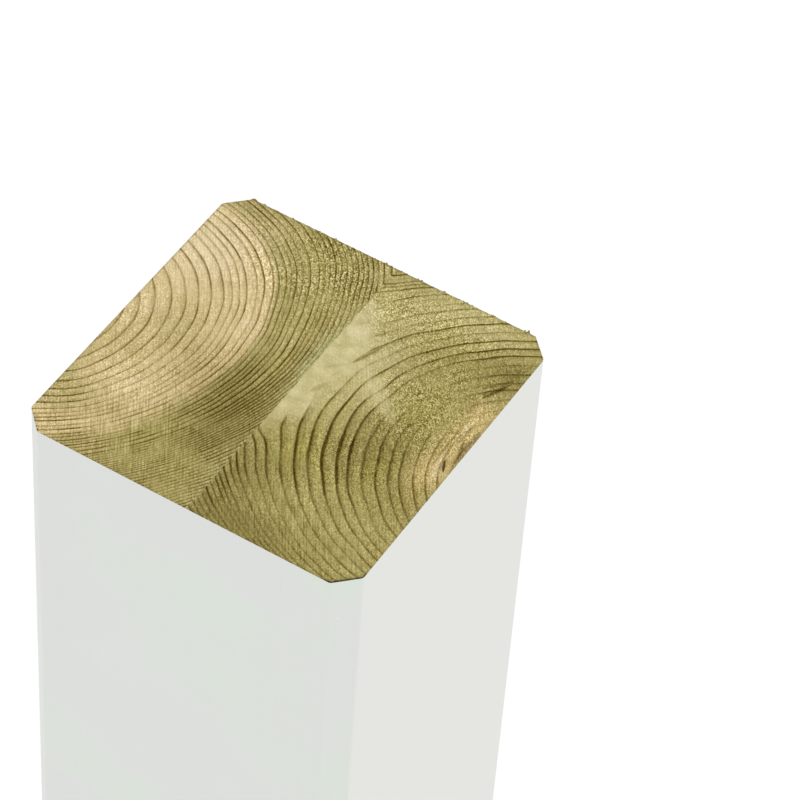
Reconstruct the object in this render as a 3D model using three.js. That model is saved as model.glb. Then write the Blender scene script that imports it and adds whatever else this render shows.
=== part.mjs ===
// A planed timber post: two pine boards glued face to face, planed square and chamfered along
// the four long arrises. The sides are painted white, and both sawn ends are left bare.
// Millimetres, +Z up. The origin is the middle of the underside, and -Y is the front face.

import * as THREE from "three";

// Driving dimensions
const POST_SIDE = 90; // planed size over the faces, the same both ways
const POST_LENGTH = 1000; // underside to top end
const CHAMFER_LEG = 5.4; // width of each 45 degree chamfer, measured along a face
const SEAM_OFFSET = 1.3; // how far right of the middle the glue line lies: the blank was planed off centre

// Sizes that follow from them
const HALF_SIDE = POST_SIDE / 2;
const FLAT_HALF = HALF_SIDE - CHAMFER_LEG; // from a face's middle to its chamfer

// Finishes
const whitePaint = new THREE.MeshStandardMaterial({
  name: "white_paint",
  color: 0xe2e5e1,
  roughness: 0.5,
  metalness: 0,
});
const bareEndGrain = new THREE.MeshStandardMaterial({
  name: "bare_end_grain",
  color: 0xaa9a63,
  roughness: 0.85,
  metalness: 0,
});

// A board's section: straight along the glue line, chamfered at its two outer arrises.
// outward is -1 for the board left of the glue line and 1 for the one right of it.
function boardSection(outward) {
  return new THREE.Shape([
    new THREE.Vector2(SEAM_OFFSET, -HALF_SIDE),
    new THREE.Vector2(outward * FLAT_HALF, -HALF_SIDE),
    new THREE.Vector2(outward * HALF_SIDE, -FLAT_HALF),
    new THREE.Vector2(outward * HALF_SIDE, FLAT_HALF),
    new THREE.Vector2(outward * FLAT_HALF, HALF_SIDE),
    new THREE.Vector2(SEAM_OFFSET, HALF_SIDE),
  ]);
}

// One board at full length. An extrusion's end caps take the first material, its walls the second.
function board(name, outward) {
  const solid = new THREE.ExtrudeGeometry(boardSection(outward), {
    depth: POST_LENGTH,
    steps: 1,
    bevelEnabled: false,
  });
  const mesh = new THREE.Mesh(solid, [bareEndGrain, whitePaint]);
  mesh.name = name;
  return mesh;
}

const post = new THREE.Group();
post.name = "timber_post";
post.add(board("left_board", -1));
post.add(board("right_board", 1));

export default post;
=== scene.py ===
import math

import bpy
import numpy as np
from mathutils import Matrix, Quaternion, Vector


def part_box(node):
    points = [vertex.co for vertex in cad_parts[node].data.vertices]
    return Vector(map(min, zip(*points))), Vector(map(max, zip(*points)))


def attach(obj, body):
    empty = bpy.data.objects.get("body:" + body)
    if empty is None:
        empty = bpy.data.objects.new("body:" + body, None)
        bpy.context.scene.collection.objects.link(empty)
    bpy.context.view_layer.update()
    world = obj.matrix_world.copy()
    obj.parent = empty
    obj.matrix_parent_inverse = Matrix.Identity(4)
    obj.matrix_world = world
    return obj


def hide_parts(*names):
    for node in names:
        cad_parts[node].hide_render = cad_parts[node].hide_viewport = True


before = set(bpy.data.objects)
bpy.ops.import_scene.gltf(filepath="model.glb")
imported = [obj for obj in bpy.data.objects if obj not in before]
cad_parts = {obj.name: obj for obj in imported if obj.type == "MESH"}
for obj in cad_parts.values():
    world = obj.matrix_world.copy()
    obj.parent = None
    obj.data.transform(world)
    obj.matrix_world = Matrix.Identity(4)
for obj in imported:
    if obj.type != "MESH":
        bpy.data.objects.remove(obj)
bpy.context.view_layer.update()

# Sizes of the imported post, in millimetres. All shaping below is in millimetres
# and becomes metres only when a mesh, the camera or a light is made.
mm = 0.001
nearly = 0.01  # mm, for points that lie on a face
leftHigh = np.array(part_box("left_board")[1]) / mm
rightHigh = np.array(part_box("right_board")[1]) / mm
halfSide = float(rightHigh[0])
postLength = float(rightHigh[2])
seamX = float(leftHigh[0])  # the glue line, a little right of the middle
rightPoints = np.array([v.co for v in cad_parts["right_board"].data.vertices]) / mm
onRightFace = rightPoints[:, 0] > halfSide - nearly
flatHalf = float(rightPoints[onRightFace, 1].max())  # half a face between its chamfers
print(f"frame: {2 * halfSide:.1f} mm square, {postLength:.0f} mm long")
print(f"frame: seam at x {seamX:.2f}, faces flat to {flatHalf:.2f} from their middle")


# Camera

cameraSetup = dict(
    place=(319.1, -532.5, 692.3),  # mm from the middle of the top end
    aim=(23.81, 9.95, 0.0),        # the picture's middle, on the plane of the top end
    roll=4.355,                    # degrees, with the picture's right side up
    lens=180.9,                    # mm, as is the sensor
    sensor=36.0,
    clip=(0.01, 100.0),            # metres
)


def makeCamera(setup):
    lift = Vector((0, 0, postLength))
    place = (Vector(setup["place"]) + lift) * mm
    aim = (Vector(setup["aim"]) + lift) * mm
    data = bpy.data.cameras.new("studio_camera")
    data.lens = setup["lens"]
    data.sensor_width = setup["sensor"]
    data.clip_start, data.clip_end = setup["clip"]
    camera = bpy.data.objects.new("studio_camera", data)
    camera.rotation_mode = "QUATERNION"
    camera.location = place
    level = (aim - place).to_track_quat("-Z", "Y")
    camera.rotation_quaternion = level @ Quaternion((0, 0, 1), math.radians(setup["roll"]))
    bpy.context.scene.collection.objects.link(camera)
    bpy.context.scene.camera = camera


makeCamera(cameraSetup)
print("camera: made")


# Small tools for shaping

def linearTone(red, green, blue):
    # A screen tone, 0 to 255, as linear colour
    share = np.array([red, green, blue]) / 255
    return np.where(share <= 0.04045, share / 12.92, ((share + 0.055) / 1.055) ** 2.4)


def softNoise(x, y, size, seed):
    # Smooth waves in seeded directions, about -1 to 1, with features about size mm across
    rng = np.random.default_rng(seed)
    waves = 9
    pitches = (1.3, 2.6)  # shortest and longest wave, in sizes
    total = np.zeros_like(x)
    for turn in rng.uniform(0, 2 * math.pi, waves):
        pitch = size * rng.uniform(*pitches)
        across = x * math.cos(turn) + y * math.sin(turn)
        total += np.sin(2 * math.pi * across / pitch + rng.uniform(0, 2 * math.pi))
    return total / math.sqrt(waves)


def fade(value, start, end):
    # 0 before start, 1 after end, smooth between; start may be the larger
    t = np.clip((value - start) / (end - start), 0, 1)
    return t * t * (3 - 2 * t)


def between(ends, value, span):
    # From the first of ends to the second as value crosses span
    return ends[0] + (ends[1] - ends[0]) * fade(value, *span)


# Growth rings. Each board was cut beside its own pith, so the two sets bulge towards the seam.

leftRings = dict(
    pith=(-60.7, -9.6),     # mm, outside the left face
    skew=[(-0.008, -0.061), (-0.002, -0.042), (0.007, -0.013)],  # swell once, twice and three times round
    lines=[                 # dark lines: mm from the pith, how dark
        (20.0, 0.7), (23.2, 0.9), (26.5, 0.8), (29.4, 0.7), (32.0, 0.9), (34.4, 0.9), (36.7, 0.8),
        (38.3, 0.6), (39.7, 0.8), (41.0, 1.1), (42.9, 0.7), (44.2, 1.1), (45.9, 0.9), (46.9, 0.8),
        (48.2, 1.0), (49.1, 0.6), (50.0, 1.2), (51.1, 0.8), (52.4, 1.1), (53.9, 1.2), (54.8, 0.7),
        (55.6, 0.8), (56.5, 1.1), (57.3, 0.8), (58.1, 0.9), (58.9, 0.8), (59.7, 0.9), (60.4, 0.8),
        (61.1, 0.8), (61.8, 1.1), (62.5, 0.8), (63.3, 1.1), (64.4, 0.8), (65.4, 0.9), (66.5, 1.1),
        (67.6, 0.9),
    ],
    dents=[(-43, -26, 8, 8, -1.1), (-8, 22, 9, 14, 1.0)],  # x, y, half width, half depth, mm in or out
    waver=0.07,             # mm that the lines waver by
    seed=11,
)
rightRings = dict(
    pith=(65.9, 3.8),
    skew=[(-0.211, -0.122), (0.053, 0.107), (-0.018, -0.029)],
    lines=[
        (21.9, 0.6), (24.0, 0.7), (26.2, 0.9), (28.6, 1.1), (30.3, 0.9), (32.4, 1.0), (34.5, 0.8),
        (36.6, 1.1), (38.3, 1.1), (40.2, 1.1), (42.0, 0.8), (43.8, 1.0), (45.4, 0.8), (47.0, 0.8),
        (48.1, 0.7), (49.2, 0.7), (50.0, 0.9), (50.7, 0.7), (51.4, 1.0), (52.0, 0.9), (52.5, 0.9),
        (53.1, 0.7), (53.7, 1.1), (54.3, 0.8),
    ],
    dents=[(37, 15, 9, 12, -1.0), (20, 11, 5, 4, 0.4), (2, -14, 2.5, 4, -1.1)],
    waver=0.09,
    seed=23,
)
skewReach = 40.0  # mm from the pith at which skew counts in full
waverSize = 6.0   # mm along a line from one waver to the next
extraLines = 24   # added at both ends of a list, at its last spacing
ringLimits = (0.3, 6.0)  # mm, narrowest and widest ring


def patchMask(x, y, patch):
    fromX, fromY = (x - patch[0]) / patch[2], (y - patch[1]) / patch[3]
    return np.exp(-(fromX ** 2 + fromY ** 2))


def ringLines(rings):
    # Radii and darkness of the lines, carried on evenly at both ends
    radii, dark = np.array(rings["lines"]).T
    steps = np.arange(1, extraLines + 1)
    before = radii[0] - (radii[1] - radii[0]) * steps[::-1]
    after = radii[-1] + (radii[-1] - radii[-2]) * steps
    return np.concatenate([before, radii, after]), np.pad(dark, len(steps), mode="edge")


def ringPlace(rings, outward, x, y):
    # Ring number, mm round the pith and mm out from it. Whole numbers fall on the dark lines.
    dx = outward * (rings["pith"][0] - x)
    dy = y - rings["pith"][1]
    reach = np.hypot(dx, dy)
    angle = np.arctan2(dy, dx)
    swell = np.zeros_like(reach)
    for turns, (even, odd) in enumerate(rings["skew"], 1):
        swell += even * np.cos(turns * angle) + odd * np.sin(turns * angle)
    radius = reach * (1 + swell * reach / skewReach)
    for dent in rings["dents"]:
        radius += dent[4] * patchMask(x, y, dent)
    radius += rings["waver"] * softNoise(x, y, waverSize, rings["seed"] + 1)
    radii = ringLines(rings)[0]
    return np.interp(radius, radii, np.arange(len(radii))), angle * skewReach, radius


def ringWidth(rings, outward, x, y):
    step = 0.05  # mm
    number = ringPlace(rings, outward, x, y)[0]
    slopeX = ringPlace(rings, outward, x + step, y)[0] - number
    slopeY = ringPlace(rings, outward, x, y + step)[0] - number
    return np.clip(step / np.maximum(np.hypot(slopeX, slopeY), 1e-4), *ringLimits)


# Look of the sawn end. A patch is (x, y, half width, half depth, change), in mm. A tone patch gives
# a tone and its strength as the change. A streak is (start, end, half width, tone, strength).

woodTones = dict(
    sapwood=linearTone(166, 155, 96),
    cream=linearTone(219, 203, 162),
    tan=linearTone(207, 187, 137),
    shade=linearTone(121, 111, 56),
    moss=linearTone(166, 155, 76),
    pale=linearTone(204, 195, 146),
    straw=linearTone(192, 182, 127),
    gold=linearTone(208, 183, 126),
    umber=linearTone(137, 120, 62),
    taupe=linearTone(128, 108, 78),
    rust=linearTone(72, 30, 14),
    bark=linearTone(84, 68, 18),
    rim=linearTone(66, 57, 38),
    glue=linearTone(178, 178, 132),
)
leftLook = dict(
    heart=46.2,             # mm from the pith at which the tan heartwood ends
    tones=[
        (-39, 26, 13, 13, "cream", 0.9),
        (-31, 0, 9, 10, "sapwood", 0.5),
        (-38, -11, 7, 5, "sapwood", 0.35),
        (-20, -9, 7, 8, "umber", 0.3),
        (-28, -21, 9, 6, "cream", 0.3),
        (-41, -31, 8, 6, "sapwood", 0.7),
        (-30, -31, 7, 5, "sapwood", 0.25),
        (-45, -22, 3.5, 12, "sapwood", 0.5),
        (-41, 2, 4, 6, "cream", 0.25),
        (-34, 43.5, 5, 2, "umber", 0.5),
        (-20, -20, 6, 6, "sapwood", 0.2),
        (-18, -30, 8, 7, "sapwood", 0.35),
        (-8, -10, 7, 10, "shade", 0.6),
        (-7, -21, 7, 8, "shade", 0.35),
        (-10, -41, 12, 6, "straw", 0.15),
        (-30, -41, 9, 6, "tan", 0.3),
        (-19, 10, 5, 7, "cream", 0.3),
        (-10, 28, 8, 8, "straw", 0.3),
        (0, 41, 6, 5, "straw", 0.6),
        (-31, 41, 7, 5, "tan", 0.3),
        (-9, 12, 5, 8, "straw", 0.25),
        (1, 10, 2.5, 16, "glue", 0.55),
        (0, -32, 3, 10, "glue", 0.15),
    ],
    streaks=[],
    lines=(0.84, [
        (-8, -10, 8, 15, 0.5), (-38, 34, 14, 12, 0.05), (-30, -30, 6, 5, -0.35),
        (-20, 5, 6, 9, -0.25), (-27, -18, 12, 9, -0.35), (-5, 21, 5, 8, -0.15),
        (-3, 40, 7, 6, 0.3), (-40, -34, 8, 6, 0.35), (1, 12, 1.5, 14, -0.4),
        (-12, -38, 14, 8, -0.15), (-13, 33, 11, 11, -0.1), (-42, -20, 8, 12, 0.35),
    ]),
    broken=(0.2, [(-20, -32, 14, 12, 0.5)]),  # how much the lines come and go
    grit=(0.6, [
        (-36, 20, 12, 18, -0.38), (-20, 5, 7, 11, -0.28), (-14, 36, 14, 12, 1.0),
        (-22, -31, 14, 12, -0.35),
    ]),
    saw=(0.5, [(-20, -33, 20, 14, 0.8)]),
    thick=(0.42, [(-40, 6, 14, 28, 0.22)]),  # mm across the dark lines
    backPower=1.0,          # how much the weaker lines die out towards the back
)
rightLook = dict(
    heart=0.0,
    tones=[
        (7, 36, 12, 9, "straw", 0.55),
        (26, 41, 14, 7, "straw", 0.75),
        (11, 18, 7, 9, "pale", 0.6),
        (17, 10, 8, 8, "straw", 0.8),
        (9, 1, 5, 7, "straw", 0.6),
        (22, 22, 8, 7, "shade", 0.15),
        (41, 30, 6, 7, "shade", 0.7),
        (31, 28, 7, 7, "umber", 0.25),
        (30, 6, 9, 14, "shade", 0.35),
        (28, -8, 10, 9, "shade", 0.72),
        (13, -17, 4, 6, "moss", 0.5),
        (31, -12, 4, 8, "moss", 0.25),
        (30, 10, 7, 7, "moss", 0.25),
        (42, 9, 4.5, 11, "gold", 0.62),
        (41, -5, 4, 6, "gold", 0.72),
        (40, -18, 6, 7, "umber", 0.38),
        (9, -24, 9, 10, "shade", 0.45),
        (4, -34, 7, 9, "shade", 0.3),
        (14, -42, 16, 6, "shade", 0.65),
        (28, -38, 16, 9, "umber", 0.15),
        (41.5, 16, 2.5, 3, "gold", 0.4),
        (38.5, 17.5, 1.8, 2.5, "umber", 0.45),
        (41.5, 33, 3.5, 2, "shade", 0.4),
    ],
    streaks=[
        ((10, 15), (26, 3), 2.2, "pale", 0.32),          # a paler band across the rings
        ((42.6, 28.4), (39.3, 21.2), 0.55, "bark", 0.9),  # dark knotty lines above the pith
        ((42.6, 29.6), (38.0, 24.0), 0.35, "bark", 0.6),
        ((44.3, 11.5), (44.4, 1.0), 0.95, "taupe", 0.55),
        ((41.3, 14.5), (40.9, 6.0), 0.8, "cream", 0.35),  # pale and dark fibres round the pith
        ((40.4, 3.0), (42.6, -8.0), 0.9, "cream", 0.4),
        ((42.0, 13.5), (41.9, 5.0), 0.3, "umber", 0.75),
        ((39.9, 12.0), (40.3, -3.0), 0.35, "umber", 0.75),
        ((42.4, 8.2), (44.2, 1.8), 0.45, "bark", 0.6),
        ((42.8, -2.4), (43.5, -5.0), 0.45, "cream", 0.5),
        ((42.0, 0.0), (43.3, -3.0), 0.38, "rust", 0.88),  # the pith itself
    ],
    lines=(0.78, [
        (19, -12, 14, 13, 0.4), (3, -26, 4, 14, 0.35), (30, 40, 16, 8, 0.2),
        (32, 13, 11, 14, -0.65), (5, 42, 6, 5, 0.35), (24, -36, 14, 9, -0.25),
        (8, -12, 8, 13, 0.35), (3.5, 34.5, 4.5, 3.5, -0.65), (14, -39, 12, 7, -0.25),
        (14.5, 8, 3, 5, -0.2), (12, -2, 4, 4, 0.3), (41, 2, 3.5, 13, 0.4), (26, 42, 10, 5, 0.4),
        (41, -26, 7, 9, -0.3),
    ]),
    broken=(0.15, []),
    grit=(0.6, [
        (30, 13, 10, 21, 0.75), (22, -12, 11, 9, 0.35), (12, 34, 12, 10, 0.5),
        (28, -36, 16, 8, -0.15), (12, 6, 6, 15, -0.3),
    ]),
    saw=(0.5, [(22, -36, 20, 12, 0.85)]),
    thick=(0.56, [(19, -13, 14, 13, 0.42), (26, 40, 16, 8, -0.05)]),
    backPower=3.0,
)
lookShares = ("lines", "broken", "grit", "saw", "thick")

# Pale stain along the seam on the right board. A span is the pair of y, in mm, over which a thing sets in.
stain = dict(
    edge=[                  # its right edge as (y, x), from below
        (-15, 1.8), (-13, 3.6), (-9.5, 5.2), (-7.5, 7.6), (-4, 8.2), (0, 7.8), (4, 8.0), (8, 9.2),
        (12, 9.8), (18, 9.2), (23, 7.8), (26.5, 6.8), (30, 5.4), (34, 3.0), (36, 1.6),
    ],
    stray=0.8,              # mm that the edge strays
    frontSpan=(-15.5, -14),
    backSpan=(36, 32),
    tone="pale",
    strength=0.66,
    foot=(0.4, 1.0),        # share of it at its front end and beyond
    footSpan=(-14, -5),
    blur=2.4,               # mm
    mottle=0.3,
    gritLoss=0.72,          # share of grit and saw marks that it hides, less at its back end
    gritSpan=(31, 24),
    bandLoss=0.5,           # share of lines and grit that the pale band hides
    smears=[                # streaks in it
        ((2.8, 20.5), (6.4, 25.5), 1.7, "cream", 0.45),
        ((2.2, 15.4), (6.4, 19.0), 0.8, "sapwood", 0.3),
        ((4.2, 8.8), (7.6, 12.4), 0.6, "umber", 0.25),
        ((5.3, 0.6), (7.3, 5.0), 0.8, "umber", 0.45),
        ((8.7, 13.8), (11.8, 21.5), 0.55, "shade", 0.8),  # a ring line that ends in the stain
    ],
)


def localShare(setting, x, y):
    # A setting is its usual value and the patches that change it
    base, patches = setting
    return base + sum(patch[4] * patchMask(x, y, patch) for patch in patches)


def streakMask(x, y, streak):
    # Along a line from start to end, thin at both ends and soft at its edges
    start, end, half = np.array(streak[0]), np.array(streak[1]), streak[2]
    run = end - start
    share = np.clip(((x - start[0]) * run[0] + (y - start[1]) * run[1]) / (run @ run), 0, 1)
    away = np.hypot(x - start[0] - share * run[0], y - start[1] - share * run[1])
    taper = half * np.sqrt(np.clip(4 * share * (1 - share), 0.1, 1))
    return fade(away, taper * 1.5, taper * 0.3)


def stainMask(x, y):
    heights, places = np.array(stain["edge"]).T
    edge = np.interp(y, heights, places) + stain["stray"] * softNoise(x, y, size=3.0, seed=71)
    inside = fade(x, edge + stain["blur"], edge - stain["blur"])
    return inside * fade(y, *stain["frontSpan"]) * fade(y, *stain["backSpan"])


def mixTone(colour, tone, share):
    return colour + (woodTones[tone] - colour) * np.clip(share, 0, 1)[:, None]


def edgeDistance(x, y):
    toFaces = halfSide - np.maximum(np.abs(x), np.abs(y))
    toChamfer = (halfSide + flatHalf - np.abs(x) - np.abs(y)) / math.sqrt(2)
    return np.minimum(toFaces, toChamfer)


def stainWood(colour, lines, grit, saw, band, x, y):
    # The stain and the pale band colour the wood and hide lines, grit and saw marks
    stained = stainMask(x, y)
    mottle = 1 + stain["mottle"] * softNoise(x, y, size=2.5, seed=72)
    strength = stain["strength"] * mottle * between(stain["foot"], y, stain["footSpan"])
    colour = mixTone(colour, stain["tone"], stained * strength)
    for smear in stain["smears"]:
        colour = mixTone(colour, smear[3], smear[4] * streakMask(x, y, smear))
    clean = 1 - stain["gritLoss"] * stained * fade(y, *stain["gritSpan"])
    seen = 1 - stain["bandLoss"] * streakMask(x, y, band)
    return colour, lines * (1 - stained) * seen, grit * clean * seen, saw * clean


# Look of both boards' ends. Reaches are mm from an edge, the first where a thing begins to show.
endLook = dict(
    heartBlur=(0.6, 3.0),   # mm over which the heartwood ends: sharp at the back, soft at the front
    heartSpan=(6, -14),
    heartStray=1.4,         # mm that its border strays, from the middle forwards
    straySpan=(10, -10),
    fadeSpan=(0, 20),       # over which backPower sets in
    breaks=(-0.3, 0.7),     # noise at which a broken line begins and ends to fade
    thickest=0.5,           # most of a ring that its dark line takes up
    darkest=1.3,            # most that a line shows
    rim=0.12,               # darker rim along the edges of the end, all round
    frontRim=0.85,          # and more of it on the front right chamfer, the left face and the back
    leftRim=0.15,
    backRim=0.1,
    rimReach=(0.75, 0.2),
    chamferReach=(2.6, 0.6),  # as x - y, short of the chamfer
    faceReach=(1.0, 0.5),
    tips=0.6,               # dark tips of the fibres over the back edge
    tipLength=0.4,
    glue=(0.1, 0.4),        # how much the glue line shows, at the back and at the front
    glueSpan=(-8, -24),
    glueReach=(0.45, 0.1),
)


def darkRim(x, y):
    farFace = halfSide - np.array(endLook["faceReach"])
    farChamfer = halfSide + flatHalf - np.array(endLook["chamferReach"])
    rim = endLook["rim"] + endLook["frontRim"] * fade(x - y, *farChamfer)
    rim += endLook["leftRim"] * fade(-x, *farFace) + endLook["backRim"] * fade(y, *farFace)
    return rim * fade(edgeDistance(x, y), *endLook["rimReach"])


def woodLook(look, rings, number, radius, width, x, y):
    # Wood colour, how much the ring lines show, then grit, saw marks and thickness of the lines
    colour = np.tile(woodTones["sapwood"], (len(x), 1))
    blur = between(endLook["heartBlur"], y, endLook["heartSpan"])
    stray = endLook["heartStray"] * softNoise(x, y, size=9.0, seed=31) * fade(y, *endLook["straySpan"])
    colour = mixTone(colour, "tan", fade(radius + stray, look["heart"] + blur, look["heart"] - blur))
    for patch in look["tones"]:
        colour = mixTone(colour, patch[4], patch[5] * patchMask(x, y, patch))
    for streak in look["streaks"]:
        colour = mixTone(colour, streak[3], streak[4] * streakMask(x, y, streak))
    lines, broken, grit, saw, thick = (localShare(look[key], x, y) for key in lookShares)
    dark = ringLines(rings)[1][np.round(number).astype(int)]
    lines *= dark ** between((1, look["backPower"]), y, endLook["fadeSpan"])
    lines *= 1 - broken * fade(softNoise(x, y, size=5.0, seed=rings["seed"] + 3), *endLook["breaks"])
    thick = np.minimum(thick, endLook["thickest"] * width)
    if look is rightLook:
        colour, lines, grit, saw = stainWood(colour, lines, grit, saw, look["streaks"][0], x, y)
    colour = mixTone(colour, "rim", darkRim(x, y))
    colour = mixTone(colour, "bark", endLook["tips"] * fade(y, halfSide, halfSide + endLook["tipLength"]))
    glue = fade(np.abs(x - seamX), *endLook["glueReach"]) * between(endLook["glue"], y, endLook["glueSpan"])
    colour = mixTone(colour, "glue", glue)
    return colour, np.clip(lines, 0, endLook["darkest"]), np.column_stack([grit, saw, thick])


# Board meshes: one closed body each, with a finely sawn top end

boardShape = dict(
    acrossCells=168,      # cells over the sawn end, from the outer face to the seam
    alongCells=320,       # and from front to back
    curveCells=6,         # straight bits round an eased arris, an even number
    arrisCut=0.55,        # mm that each planed arris is eased by
    endRound=0.14,        # mm of rounding between the sides and the sawn ends
    collar=3.0,           # mm under the end over which the fine mesh thins out
    wallRow=25.0,         # mm between rows of faces on the sides
    keepEvery=8,          # fine points from one wall column to the next on the flats
    bentTurn=0.02,        # radians of turn from which a point counts as part of an arris
    crispFold=40.0,       # degrees of fold from which the shading is crisp
)


def easedPath(corners, cuts):
    # A polyline whose inner corners are cut into small curves; also returns each curve's middle
    corners = [np.array(corner, float) for corner in corners]
    points, middles = [corners[0]], []
    cells = boardShape["curveCells"]
    steps = np.linspace(0, 1, cells + 1)[:, None]
    for before, corner, after, cut in zip(corners, corners[1:], corners[2:], cuts):
        start = corner + cut * (before - corner) / np.linalg.norm(before - corner)
        end = corner + cut * (after - corner) / np.linalg.norm(after - corner)
        middles.append(len(points) + cells // 2)
        points.extend((1 - steps) ** 2 * start + 2 * steps * (1 - steps) * corner + steps ** 2 * end)
    points.append(corners[-1])
    return np.array(points), middles


def evenPoints(path, cells):
    lengths = np.hypot(*np.diff(path, axis=0).T)
    along = np.concatenate([[0], np.cumsum(lengths)])
    wanted = np.linspace(0, along[-1], cells + 1)
    return np.column_stack([np.interp(wanted, along, path[:, axis]) for axis in (0, 1)])


def boardEdges(outward, inset, across, along):
    # The four sides of a board's section, moved in by inset: front, outer, back and seam
    half = halfSide - inset
    flat = flatHalf - inset * math.tan(math.pi / 8)
    cut = boardShape["arrisCut"]
    frontCorners = [(seamX, -half), (outward * flat, -half), (outward * half, -flat)]
    backCorners = [(x, -y) for x, y in reversed(frontCorners)]
    path, middles = easedPath(frontCorners + backCorners, [cut] * 4)
    front = evenPoints(path[:middles[0] + 1][::-1], across)
    outer = evenPoints(path[middles[0]:middles[3] + 1], along)
    back = evenPoints(path[middles[3]:], across)
    seam = evenPoints(np.array([front[-1], back[-1]]), along)
    return front, outer, back, seam


def boardLoop(edges):
    # Once round a section: seam, front, outer face, back, and along the seam again
    front, outer, back, seam = edges
    return np.concatenate([front[::-1], outer[1:], back[1:], seam[::-1][1:-1]])


def gridLoop(across, along):
    # The same round over the ids of a grid of (across + 1) by (along + 1) points
    ids = np.arange((across + 1) * (along + 1)).reshape(across + 1, along + 1)
    return np.concatenate([ids[::-1, 0], ids[0, 1:], ids[1:, -1], ids[-1, -2:0:-1]])


def fillGrid(edges):
    # Points inside the four edges, blended from opposite pairs
    front, outer, back, seam = edges
    u = np.linspace(0, 1, len(front))[:, None, None]
    v = np.linspace(0, 1, len(outer))[None, :, None]
    blend = (1 - v) * front[:, None] + v * back[:, None] + (1 - u) * outer[None] + u * seam[None]
    corners = (1 - u) * ((1 - v) * front[0] + v * back[0]) + u * ((1 - v) * front[-1] + v * back[-1])
    return (blend - corners).reshape(-1, 2)


def gridFaces(across, along, firstId):
    ids = firstId + np.arange((across + 1) * (along + 1)).reshape(across + 1, along + 1)
    return np.stack([ids[:-1, :-1], ids[:-1, 1:], ids[1:, 1:], ids[1:, :-1]], axis=-1).reshape(-1, 4)


def bandFaces(upper, lower):
    return np.column_stack([upper, lower, np.roll(lower, -1), np.roll(upper, -1)])


def zipFaces(upper, upperAt, lower, lowerAt, total):
    # Triangles between two loops whose points sit at different places along the same outline
    upperAt = np.append(upperAt, total)
    lowerAt = np.append(lowerAt, total)
    faces, i, j = [], 0, 0
    while i < len(upper) or j < len(lower):
        nextUpper = upperAt[i + 1] if i < len(upper) else math.inf
        nextLower = lowerAt[j + 1] if j < len(lower) else math.inf
        here, below = upper[i % len(upper)], lower[j % len(lower)]
        if nextUpper <= nextLower:
            faces.append((here, below, upper[(i + 1) % len(upper)]))
            i += 1
        else:
            faces.append((here, below, lower[(j + 1) % len(lower)]))
            j += 1
    return faces


def wallColumns(loop):
    # Which points of the fine outline go on down the sides: all round the arrises, few on the flats
    ahead = np.roll(loop, -1, axis=0) - loop
    heading = np.arctan2(ahead[:, 1], ahead[:, 0])
    turn = np.abs(np.angle(np.exp(1j * (heading - np.roll(heading, 1)))))
    sharp = turn > boardShape["bentTurn"]
    bent = sharp.copy()
    for shift in (-2, -1, 1, 2):
        bent |= np.roll(sharp, shift)
    regular = np.arange(len(loop)) % boardShape["keepEvery"] == 0
    return np.flatnonzero(bent | regular)


sawnEnd = dict(
    ridge=0.05,           # mm that the hard latewood stands proud
    ridgeFoot=(0.35, 0.2),  # mm that it slopes over, on its pith side and its bark side
    sawAcross=(0.84, 0.54),  # direction square to the saw marks
    sawPitch=1.7,         # mm
    sawDepth=0.018,
    sawStray=0.4,         # mm that the marks stray from straight
    uneven=0.05,          # mm of broad waves
    fuzz=0.010,           # mm of roughness
    crack=0.5,            # mm deep, at the pith
)


def sawnRelief(rings, outward, x, y):
    number = ringPlace(rings, outward, x, y)[0]
    width = ringWidth(rings, outward, x, y)
    toNext = (1 - number % 1) * width
    since = (number % 1) * width
    pithFoot, barkFoot = sawnEnd["ridgeFoot"]
    line = np.maximum(np.exp(-(toNext / pithFoot) ** 2), np.exp(-(since / barkFoot) ** 2))
    acrossX, acrossY = sawnEnd["sawAcross"]
    across = acrossX * x + acrossY * y + sawnEnd["sawStray"] * softNoise(x, y, size=20, seed=3)
    saw = np.sin(2 * math.pi * across / sawnEnd["sawPitch"])
    relief = sawnEnd["ridge"] * line + sawnEnd["sawDepth"] * saw
    relief += sawnEnd["uneven"] * softNoise(x, y, size=12, seed=4)
    relief += sawnEnd["fuzz"] * np.random.default_rng(rings["seed"] + 2).standard_normal(len(x))
    if outward > 0:
        relief -= sawnEnd["crack"] * streakMask(x, y, rightLook["streaks"][-1])
    return relief


# Fibres that the saw tore out over the back edge. Reaches are mm inside an edge: from where they
# begin to lift to where they lift in full.
tornFibres = dict(
    tuft=0.08,            # mm, usual reach of the fibres
    spread=2.2,           # cap on their lengths, in standard deviations
    pitch=0.35,           # mm from one fibre to the next
    riseShare=0.2,        # rise of a fibre for its reach
    backReach=(1.0, 0.3),
    topReach=(0.6, 0.1),
    sideReach=(-0.8, 0.4),  # from just past the flat, to keep off the chamfers
    splinters={           # for each board: x, half width, reach out, rise
        -1: [(-39.2, 1.3, 0.30, 0.12), (-36.2, 0.35, 0.30, 0.15)],
        1: [(36.7, 0.3, 0.3, 0.4), (37.6, 0.35, 0.5, 0.9)],
    },
    seed=5,
)


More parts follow.
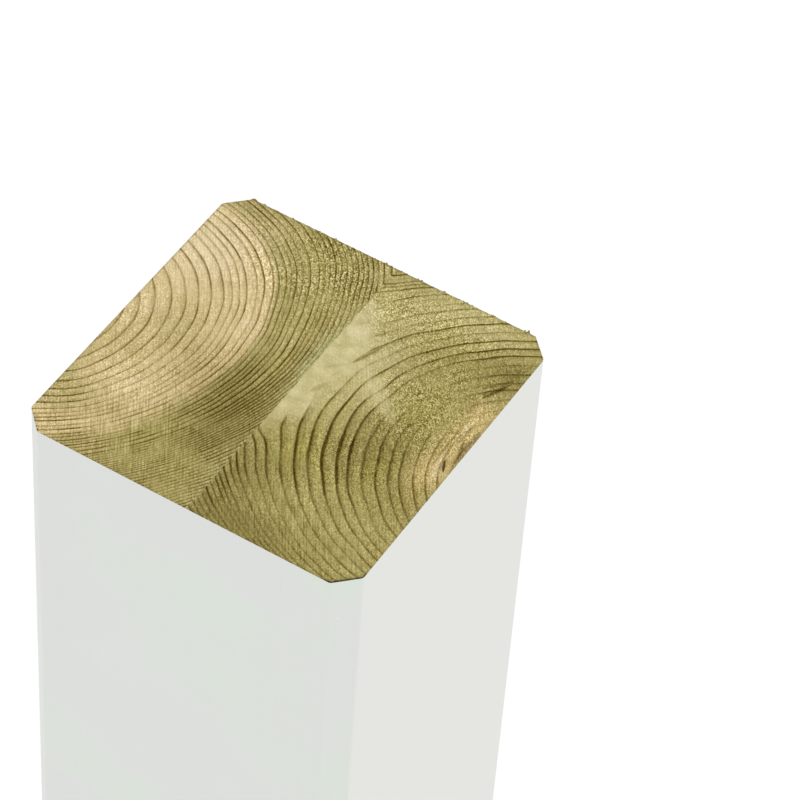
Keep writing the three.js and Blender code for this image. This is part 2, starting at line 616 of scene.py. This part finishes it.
def tearFibres(points, outward):
    # Pushes the rim of the back face out and up a little
    rng = np.random.default_rng(tornFibres["seed"] + outward)
    x, y, z = points.T
    spots = np.arange(-halfSide, halfSide, tornFibres["pitch"])
    spread = np.clip(rng.standard_normal(len(spots)), 0, tornFibres["spread"])
    push = np.interp(x, spots, spread ** 2 * tornFibres["tuft"])  # few are long
    rise = tornFibres["riseShare"] * push
    for place, half, reach, lift in tornFibres["splinters"][outward]:
        tooth = np.clip(1 - np.abs(x - place) / half, 0, 1)
        push += reach * tooth
        rise += lift * tooth
    share = fade(y, *(halfSide - np.array(tornFibres["backReach"])))
    share *= fade(z, *(postLength - np.array(tornFibres["topReach"])))
    share *= fade(np.abs(x), *(flatHalf - np.array(tornFibres["sideReach"])))
    points[:, 1] += share * push
    points[:, 2] += share * rise


def shapeBoard(outward, rings):
    # Points in mm and faces by group: top, side and bottom
    across, along = boardShape["acrossCells"], boardShape["alongCells"]
    rounding = boardShape["endRound"]
    blocks, faces = [], dict(top=[], side=[], bottom=[])

    def addPoints(plan, height):
        first = sum(len(block) for block in blocks)
        blocks.append(np.column_stack([plan, np.broadcast_to(height, len(plan))]))
        return np.arange(first, first + len(plan))

    def addLoop(inset, cellsAcross, cellsAlong, height):
        return addPoints(boardLoop(boardEdges(outward, inset, cellsAcross, cellsAlong)), height)

    # Inset and drop of the loops that round an end over into the sides
    tilts = np.radians([30, 60, 90])
    arris = [(rounding * (1 - math.sin(tilt)), rounding * (1 - math.cos(tilt))) for tilt in tilts]
    arris.append((0.0, 2 * rounding))
    bareEdge = 1e-6  # the rounding is bare wood until it meets the sides

    # Sawn top end, then over its arris
    topPlan = fillGrid(boardEdges(outward, rounding, across, along))
    relief = sawnRelief(rings, outward, topPlan[:, 0], topPlan[:, 1])
    addPoints(topPlan, postLength + relief)
    faces["top"].extend(gridFaces(across, along, 0))
    upper = gridLoop(across, along)
    for inset, drop in arris:
        lower = addLoop(inset, across, along, postLength - drop)
        faces["top" if inset > bareEdge else "side"].extend(bandFaces(upper, lower))
        upper = lower

    # Sides, with fewer columns
    finePlan = boardLoop(boardEdges(outward, 0, across, along))
    columns = wallColumns(finePlan)
    wallTop = postLength - 2 * rounding - boardShape["collar"]
    rows = np.linspace(wallTop, postLength - wallTop, round(postLength / boardShape["wallRow"]) + 1)
    lower = addPoints(finePlan[columns], rows[0])
    faces["side"].extend(zipFaces(upper, np.arange(len(finePlan)), lower, columns, len(finePlan)))
    upper = lower
    for height in rows[1:]:
        lower = addPoints(finePlan[columns], height)
        faces["side"].extend(bandFaces(upper, lower))
        upper = lower

    # Underside, on a grid half as fine
    halfAcross, halfAlong = across // 2, along // 2
    upperAt = columns
    for inset, drop in reversed(arris):
        lower = addLoop(inset, halfAcross, halfAlong, drop)
        if upperAt is not None:
            lowerAt = np.arange(0, len(finePlan), 2)
            faces["side"].extend(zipFaces(upper, upperAt, lower, lowerAt, len(finePlan)))
            upperAt = None
        else:
            faces["bottom" if inset > bareEdge else "side"].extend(bandFaces(upper, lower))
        upper = lower
    bottomIds = addPoints(fillGrid(boardEdges(outward, rounding, halfAcross, halfAlong)), 0.0)
    faces["bottom"].extend(bandFaces(upper, bottomIds[gridLoop(halfAcross, halfAlong)]))
    faces["bottom"].extend(gridFaces(halfAcross, halfAlong, bottomIds[0])[:, ::-1])
    points = np.concatenate(blocks)
    tearFibres(points, outward)
    return points, faces


bakeMap = dict(
    name="OFBake",            # the map that an export bakes colours through
    sides=(0.0, 0.235),       # shares of the map's width: painted sides, seam face and the two ends
    seam=(0.24, 0.26),
    top=(0.27, 0.63),
    bottom=(0.64, 1.0),
    margin=0.001,             # kept free round the map
)


def bakePlaces(outward, points, corners, groups):
    # Where each face corner lies on the bake map, so that the ends get most of its pixels
    x, y, z = points[corners].T
    reach = np.abs(x - seamX)
    width = abs(outward * halfSide - seamX)
    total = 2 * width + 2 * halfSide
    walk = np.where(y < 0, reach + y + halfSide, total - reach - halfSide + y) / total
    depth = (y + halfSide) / (2 * halfSide)
    spread = dict(sides=walk, seam=depth, top=reach / width, bottom=reach / width)
    places = np.zeros((len(corners), 2))
    for group, share in spread.items():
        low, high = bakeMap[group]
        chosen = groups == group
        places[chosen, 0] = low + (high - low) * np.clip(share[chosen], 0, 1)
        places[chosen, 1] = (z[chosen] / postLength) if group in ("sides", "seam") else depth[chosen]
    return np.clip(places, bakeMap["margin"], 1 - bakeMap["margin"])


def addField(mesh, name, kind, key, values):
    mesh.attributes.new(name, kind, "POINT").data.foreach_set(key, np.ravel(values))


def addFields(mesh, points, outward, rings, look):
    # What the materials need to know at each point
    x, y = points[:, 0], points[:, 1]
    number, turn, radius = ringPlace(rings, outward, x, y)
    width = ringWidth(rings, outward, x, y)
    colour, lines, feel = woodLook(look, rings, number, radius, width, x, y)
    addField(mesh, "growth", "FLOAT_VECTOR", "vector", np.column_stack([number, turn, radius]))
    addField(mesh, "ringWidth", "FLOAT", "value", width)
    addField(mesh, "woodTone", "FLOAT_COLOR", "color", np.column_stack([colour, lines]))
    addField(mesh, "woodFeel", "FLOAT_VECTOR", "vector", feel)  # grit, saw marks, thickness of the lines


def makeBoard(name, outward, rings, look, paint, wood):
    points, faces = shapeBoard(outward, rings)
    onSeam = np.abs(points[:, 0] - seamX) < nearly
    faceList, groups = [], []
    for group, members in faces.items():
        for face in members:
            face = [int(i) for i in face]
            faceList.append(face if outward > 0 else face[::-1])
            groups.append("seam" if onSeam[face].all() else "sides" if group == "side" else group)
    mesh = bpy.data.meshes.new(name)
    mesh.from_pydata((points * mm).tolist(), [], faceList)
    mesh.materials.append(paint)
    mesh.materials.append(wood)
    mesh.polygons.foreach_set("material_index", [0 if group == "sides" else 1 for group in groups])
    mesh.polygons.foreach_set("use_smooth", [True] * len(faceList))
    addFields(mesh, points, outward, rings, look)

    corners = np.concatenate([np.array(face) for face in faceList])
    cornerGroups = np.repeat(np.array(groups), [len(face) for face in faceList])
    uv = mesh.uv_layers.new(name=bakeMap["name"])
    uv.uv.foreach_set("vector", bakePlaces(outward, points, corners, cornerGroups).ravel())
    mesh.validate()
    mesh.set_sharp_from_angle(angle=math.radians(boardShape["crispFold"]))  # crisp where the boards meet
    board = bpy.data.objects.new(name, mesh)
    bpy.context.scene.collection.objects.link(board)
    print(f"{name}: {len(points)} points, {len(faceList)} faces")
    return board


# Materials

def addNode(tree, kind, inputs, **settings):
    node = tree.nodes.new(kind)
    for key, value in settings.items():
        setattr(node, key, value)
    for key, value in inputs.items():
        if isinstance(value, bpy.types.NodeSocket):
            tree.links.new(value, node.inputs[key])
        else:
            node.inputs[key].default_value = value
    return node


def calc(tree, operation, *values):
    node = addNode(tree, "ShaderNodeMath", dict(enumerate(values)), operation=operation)
    return node.outputs[0]


def vectorCalc(tree, operation, *values):
    node = addNode(tree, "ShaderNodeVectorMath", dict(enumerate(values)), operation=operation)
    return node.outputs[0]


def remap(tree, value, fromSpan, toSpan, smooth=True):
    inputs = dict(enumerate((value, *fromSpan, *toSpan)))
    kind = "SMOOTHSTEP" if smooth else "LINEAR"
    return addNode(tree, "ShaderNodeMapRange", inputs, interpolation_type=kind).outputs[0]


def noise(tree, place, scale, detail=2.0, rough=0.5):
    inputs = {"Vector": place, "Scale": scale, "Detail": detail, "Roughness": rough}
    return addNode(tree, "ShaderNodeTexNoise", inputs).outputs[0]


def centred(tree, value):
    return calc(tree, "SUBTRACT", value, 0.5)  # noise about zero


def scaled(tree, colour, factor):
    return addNode(tree, "ShaderNodeVectorMath", {0: colour, 3: factor}, operation="SCALE").outputs[0]


def tinted(tree, factor, first, second, blend="MIX"):
    inputs = {0: factor, 6: first, 7: second}
    return addNode(tree, "ShaderNodeMix", inputs, data_type="RGBA", blend_type=blend).outputs[2]


def field(tree, name, output):
    return addNode(tree, "ShaderNodeAttribute", {}, attribute_name=name).outputs[output]


def split(tree, vector):
    return addNode(tree, "ShaderNodeSeparateXYZ", {0: vector}).outputs


def joined(tree, x, y):
    return addNode(tree, "ShaderNodeCombineXYZ", {0: x, 1: y}).outputs[0]


def newFinish(name):
    material = bpy.data.materials.new(name)
    material.use_nodes = True
    tree = material.node_tree
    tree.nodes.clear()
    output = tree.nodes.new("ShaderNodeOutputMaterial")
    shader = tree.nodes.new("ShaderNodeBsdfPrincipled")
    tree.links.new(shader.outputs[0], output.inputs[0])
    where = tree.nodes.new("ShaderNodeTexCoord").outputs["Object"]
    place = scaled(tree, where, 1 / mm)  # millimetres
    return material, tree, shader, place


def plugIn(tree, shader, finish, colour, rough, height):
    bump = addNode(tree, "ShaderNodeBump", {
        "Height": height,
        "Strength": finish["bump"],
        "Distance": finish["bumpDepth"] * mm,
    })
    tree.links.new(colour, shader.inputs["Base Color"])
    tree.links.new(rough, shader.inputs["Roughness"])
    tree.links.new(bump.outputs[0], shader.inputs["Normal"])
    shader.inputs["Specular IOR Level"].default_value = finish["shine"]


# Bare end grain. Scales are noise features per mm.

woodFinish = dict(
    latewood=(0.25, 0.21, 0.060, 1),  # what the dark lines leave of the wood's colour
    halo=(0.80, 0.73, 0.58, 1),       # and the brown shade on their pith side
    pithEdge=0.15,                    # where a line is full on its pith side, in line thicknesses
    barkEdge=0.45,                    # and gone on its bark side
    haloReach=2.6,
    shake=0.05,                       # how far the lines tremble, in rings
    linePatches=(0.75, 1.1),          # lines and grit come and go in broad patches
    gritPatches=(0.75, 1.15),
    fineScale=4.2,
    grainScale=0.9,
    broadScale=0.13,
    fibre=0.21,                       # mm across a bundle of cut fibres
    smear=1.5,                        # how far the saw drew them out
    dull=-0.35,                       # brightness of the dullest fibres, and how much brighter others are
    bright=1.05,
    fineGrit=0.35,
    grit=1.15,
    speck=(0.62, 0.56, 0.25, 1),      # pale cut fibres
    speckPick=(0.9, 0.97),            # which of them turn pale
    speckShare=0.3,
    mostSpecks=0.8,
    body=(1.003, 0.995, 1.015),       # evens out the mean colour under the grit
    bleach=(1.0, 1.05, 1.6),          # bright fibres are paler, dull ones deeper in colour
    dullest=(0.25, 0.25, 0.25),       # least of the wood's colour that grit and saw marks leave
    sawTurn=33.0,                     # degrees from the front, square to the saw marks
    sawPitch=0.68,                    # mm
    scratchScale=2.4,
    scratch=14.0,                     # length of a scratch for its width
    ripple=0.07,
    stray=6.0,                        # radians that the ripple strays by
    streakScale=1.8,
    streakSqueeze=0.05,               # makes the streaks long
    streaks=0.7,
    rayScale=1.6,
    raySqueeze=0.15,
    rays=(0.94, 1.06),
    rough=(0.88, 0.72),               # between the lines and on them
    shine=0.03,
    lineHeight=0.6,
    grainHeight=0.8,
    bump=0.5,
    bumpDepth=0.1,                    # mm
)


def sawnPlace(tree, place, stretch):
    # Coordinates turned square to the saw marks and squeezed along them
    return addNode(tree, "ShaderNodeMapping", {
        "Vector": place,
        "Rotation": (0, 0, math.radians(woodFinish["sawTurn"])),
        "Scale": (1, stretch, 1),
    }, vector_type="TEXTURE").outputs[0]


def latewoodLines(tree, grain, broad):
    # Dark latewood: creeps up on the pith side, ends sharply on the bark side
    ring = split(tree, field(tree, "growth", "Vector"))[0]
    width = field(tree, "ringWidth", "Fac")
    thick = split(tree, field(tree, "woodFeel", "Vector"))[2]
    shaken = calc(tree, "MULTIPLY_ADD", centred(tree, grain), woodFinish["shake"], ring)
    phase = calc(tree, "FRACT", shaken)
    toNext = calc(tree, "MULTIPLY", calc(tree, "SUBTRACT", 1.0, phase), width)
    since = calc(tree, "MULTIPLY", phase, width)
    full = calc(tree, "MULTIPLY", thick, woodFinish["pithEdge"])
    gone = calc(tree, "MULTIPLY", thick, woodFinish["barkEdge"])
    shaded = calc(tree, "MULTIPLY", thick, woodFinish["haloReach"])
    late = remap(tree, toNext, (full, thick), (1.0, 0.0))
    sharp = remap(tree, since, (0.0, gone), (1.0, 0.0))
    halo = remap(tree, toNext, (0.0, shaded), (1.0, 0.0))
    line = calc(tree, "MAXIMUM", late, sharp)
    patchy = remap(tree, broad, (0.35, 0.6), woodFinish["linePatches"])
    share = calc(tree, "MULTIPLY", field(tree, "woodTone", "Alpha"), patchy)
    lineShare = calc(tree, "MINIMUM", calc(tree, "MULTIPLY", line, share), 1.0)
    haloShare = calc(tree, "MULTIPLY", halo, calc(tree, "MINIMUM", share, 1.0))
    return line, lineShare, haloShare


def cutFibres(tree, place, fine, broad):
    # Cut fibres make the surface grainy, drawn out a little along the saw marks
    cells = addNode(tree, "ShaderNodeTexVoronoi", {
        "Vector": sawnPlace(tree, place, woodFinish["smear"]),
        "Scale": 1 / woodFinish["fibre"],
    }, voronoi_dimensions="2D")
    cellTone = split(tree, cells.outputs["Color"])
    shade, pick = cellTone[0], cellTone[2]
    few = calc(tree, "POWER", shade, 2.0)  # few fibres are bright, many dull
    speckle = calc(tree, "MULTIPLY_ADD", few, woodFinish["bright"], woodFinish["dull"])
    speckle = calc(tree, "MULTIPLY_ADD", centred(tree, fine), woodFinish["fineGrit"], speckle)
    patchy = remap(tree, broad, (0.38, 0.62), woodFinish["gritPatches"])
    share = calc(tree, "MULTIPLY", split(tree, field(tree, "woodFeel", "Vector"))[0], patchy)
    share = calc(tree, "MULTIPLY", share, woodFinish["grit"])
    specks = remap(tree, pick, woodFinish["speckPick"], (0.0, woodFinish["speckShare"]))
    specks = calc(tree, "MINIMUM", calc(tree, "MULTIPLY", specks, share), woodFinish["mostSpecks"])
    return calc(tree, "MULTIPLY", speckle, share), specks


def sawMarks(tree, place, grain):
    # Fine scratches with a faint, even ripple
    drawnOut = sawnPlace(tree, place, woodFinish["scratch"])
    scratch = centred(tree, noise(tree, drawnOut, woodFinish["scratchScale"], detail=1.0))
    across = split(tree, sawnPlace(tree, place, 1))[0]
    stray = calc(tree, "MULTIPLY", grain, woodFinish["stray"])
    turns = calc(tree, "MULTIPLY_ADD", across, 2 * math.pi / woodFinish["sawPitch"], stray)
    scratch = calc(tree, "MULTIPLY_ADD", calc(tree, "SINE", turns), woodFinish["ripple"], scratch)
    return calc(tree, "MULTIPLY", scratch, split(tree, field(tree, "woodFeel", "Vector"))[1])


def ringStreaks(tree):
    # Faint streaks along the rings, and fainter rays across them
    growth = split(tree, field(tree, "growth", "Vector"))
    turn, radius = growth[1], growth[2]
    alongRings = joined(tree, calc(tree, "MULTIPLY", turn, woodFinish["streakSqueeze"]), radius)
    acrossRings = joined(tree, turn, calc(tree, "MULTIPLY", radius, woodFinish["raySqueeze"]))
    early = centred(tree, noise(tree, alongRings, woodFinish["streakScale"]))
    strength = calc(tree, "MULTIPLY", field(tree, "woodTone", "Alpha"), woodFinish["streaks"])
    early = calc(tree, "MULTIPLY_ADD", early, strength, 1.0)
    rays = noise(tree, acrossRings, woodFinish["rayScale"])
    rays = remap(tree, rays, (0.3, 0.7), woodFinish["rays"], smooth=False)
    return calc(tree, "MULTIPLY", early, rays)


def endGrainFinish():
    material, tree, shader, place = newFinish("bare_end_grain")
    fine = noise(tree, place, woodFinish["fineScale"], rough=0.7)
    grain = noise(tree, place, woodFinish["grainScale"], rough=0.6)
    broad = noise(tree, place, woodFinish["broadScale"])
    line, lineShare, haloShare = latewoodLines(tree, grain, broad)
    grit, specks = cutFibres(tree, place, fine, broad)
    marks = calc(tree, "ADD", sawMarks(tree, place, grain), grit)
    marks = vectorCalc(tree, "MULTIPLY_ADD", marks, woodFinish["bleach"], woodFinish["body"])
    marks = vectorCalc(tree, "MAXIMUM", marks, woodFinish["dullest"])
    colour = scaled(tree, field(tree, "woodTone", "Color"), ringStreaks(tree))
    colour = vectorCalc(tree, "MULTIPLY", colour, marks)
    colour = tinted(tree, specks, colour, woodFinish["speck"])
    colour = tinted(tree, haloShare, colour, woodFinish["halo"], "MULTIPLY")
    colour = tinted(tree, lineShare, colour, woodFinish["latewood"], "MULTIPLY")
    rough = remap(tree, line, (0.0, 1.0), woodFinish["rough"], smooth=False)
    height = calc(tree, "MULTIPLY", fine, woodFinish["grainHeight"])
    height = calc(tree, "MULTIPLY_ADD", line, woodFinish["lineHeight"], height)
    plugIn(tree, shader, woodFinish, colour, rough, height)
    return material


# White paint on the planed sides

paintFinish = dict(
    body=(0.682, 0.734, 0.672, 1),
    mild=(0.700, 0.712, 0.690, 1),    # in soft clouds over the body
    cloudScale=0.03,
    warmLight=(0.702, 0.706, 0.670, 1),    # painted warm light on the right face
    warmLightShare=0.9,
    warmLightReach=(0.5, 0.05),            # mm from the right face, where it begins and is full
    nibHighlight=(0.80, 0.80, 0.77, 1),        # small lumps in the paint, coloured lighter as a painted highlight
    nibScale=0.06,
    nibSize=(0.012, 0.03),            # in spacings of the nibs
    nibHighlightShare=0.5,
    brush=(1, 1, 0.015),              # makes the brush streaks run down the post
    brushScale=0.45,
    streaks=(0.994, 1.006),
    peelScale=0.9,
    ridge=0.6,                        # mm across the latewood that shows through
    heights=dict(peel=0.5, ridge=0.2, nibs=0.8, streak=0.3),
    rough=(0.42, 0.52),
    shine=0.4,
    bump=0.12,
    bumpDepth=0.1,                    # mm
)


def paintedFinish():
    material, tree, shader, place = newFinish("white_paint")
    cloud = noise(tree, place, paintFinish["cloudScale"])
    peel = noise(tree, place, paintFinish["peelScale"])
    brushed = vectorCalc(tree, "MULTIPLY", place, paintFinish["brush"])
    streak = noise(tree, brushed, paintFinish["brushScale"], detail=3.0, rough=0.6)
    spots = addNode(tree, "ShaderNodeTexVoronoi", {"Vector": place, "Scale": paintFinish["nibScale"]})
    nibs = remap(tree, spots.outputs["Distance"], paintFinish["nibSize"], (1.0, 0.0))
    clouds = remap(tree, cloud, (0.4, 0.6), (0.0, 1.0))
    colour = tinted(tree, clouds, paintFinish["body"], paintFinish["mild"])
    # Painted light: a warmer tint on the right face stands in for the warmer light that falls on it
    rightEdge = [halfSide - reach for reach in paintFinish["warmLightReach"]]
    paintedWarmLight = remap(tree, split(tree, place)[0], rightEdge, (0.0, paintFinish["warmLightShare"]))
    colour = tinted(tree, paintedWarmLight, colour, paintFinish["warmLight"])
    colour = scaled(tree, colour, remap(tree, streak, (0.3, 0.7), paintFinish["streaks"], smooth=False))
    # The nibs' lighter colour is a painted highlight; the lumps themselves are bump
    colour = tinted(tree, calc(tree, "MULTIPLY", nibs, paintFinish["nibHighlightShare"]), colour, paintFinish["nibHighlight"])
    rough = remap(tree, streak, (0.3, 0.7), paintFinish["rough"], smooth=False)

    # Hard latewood shows faintly through the paint as lines along the post
    ring = split(tree, field(tree, "growth", "Vector"))[0]
    toNext = calc(tree, "SUBTRACT", 1.0, calc(tree, "FRACT", ring))
    toNext = calc(tree, "MULTIPLY", toNext, field(tree, "ringWidth", "Fac"))
    ridge = remap(tree, toNext, (0.0, paintFinish["ridge"]), (1.0, 0.0))
    heights = paintFinish["heights"]
    height = calc(tree, "MULTIPLY", peel, heights["peel"])
    height = calc(tree, "MULTIPLY_ADD", ridge, heights["ridge"], height)
    height = calc(tree, "MULTIPLY_ADD", nibs, heights["nibs"], height)
    height = calc(tree, "MULTIPLY_ADD", streak, heights["streak"], height)
    plugIn(tree, shader, paintFinish, colour, rough, height)
    return material


paint = paintedFinish()
wood = endGrainFinish()
print("finishes: made")

boards = [("left_board", -1, leftRings, leftLook), ("right_board", 1, rightRings, rightLook)]
for nodeName, outward, rings, look in boards:
    board = makeBoard(nodeName + "_timber", outward, rings, look, paint, wood)
    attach(board, "root")
    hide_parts(nodeName)
print("boards: made")


# Floor and light

studio = dict(
    floorHalf=8.0,                    # metres
    floorColour=(0.94, 0.94, 0.94, 1),
    floorRough=0.9,
    floorShine=0.1,
    skyStrength=1.0,
    sunFrom=(0.50, 0.55, 0.67),       # towards the light: behind on the right
    sunStrength=0.43,
    sunAngle=40.0,                    # degrees across the light, for soft shadows
)


def makeStudio(setup):
    half = setup["floorHalf"]
    mesh = bpy.data.meshes.new("floor")
    corners = [(-half, -half, 0), (half, -half, 0), (half, half, 0), (-half, half, 0)]
    mesh.from_pydata(corners, [], [(0, 1, 2, 3)])
    material = bpy.data.materials.new("pale_floor")
    material.use_nodes = True
    shader = material.node_tree.nodes["Principled BSDF"]
    shader.inputs["Base Color"].default_value = setup["floorColour"]
    shader.inputs["Roughness"].default_value = setup["floorRough"]
    shader.inputs["Specular IOR Level"].default_value = setup["floorShine"]
    mesh.materials.append(material)
    floor = bpy.data.objects.new("floor", mesh)
    bpy.context.scene.collection.objects.link(floor)

    world = bpy.data.worlds.new("studio_dome")
    world.use_nodes = True
    background = world.node_tree.nodes["Background"]
    background.inputs[0].default_value = (1, 1, 1, 1)
    background.inputs[1].default_value = setup["skyStrength"]
    bpy.context.scene.world = world
    sun = bpy.data.lights.new("soft_key", "SUN")
    sun.energy = setup["sunStrength"]
    sun.angle = math.radians(setup["sunAngle"])
    lamp = bpy.data.objects.new("soft_key", sun)
    lamp.rotation_mode = "QUATERNION"
    lamp.rotation_quaternion = Vector(setup["sunFrom"]).to_track_quat("Z", "Y")
    bpy.context.scene.collection.objects.link(lamp)
    bpy.context.scene.view_settings.view_transform = "Standard"


makeStudio(studio)
print("studio: made")
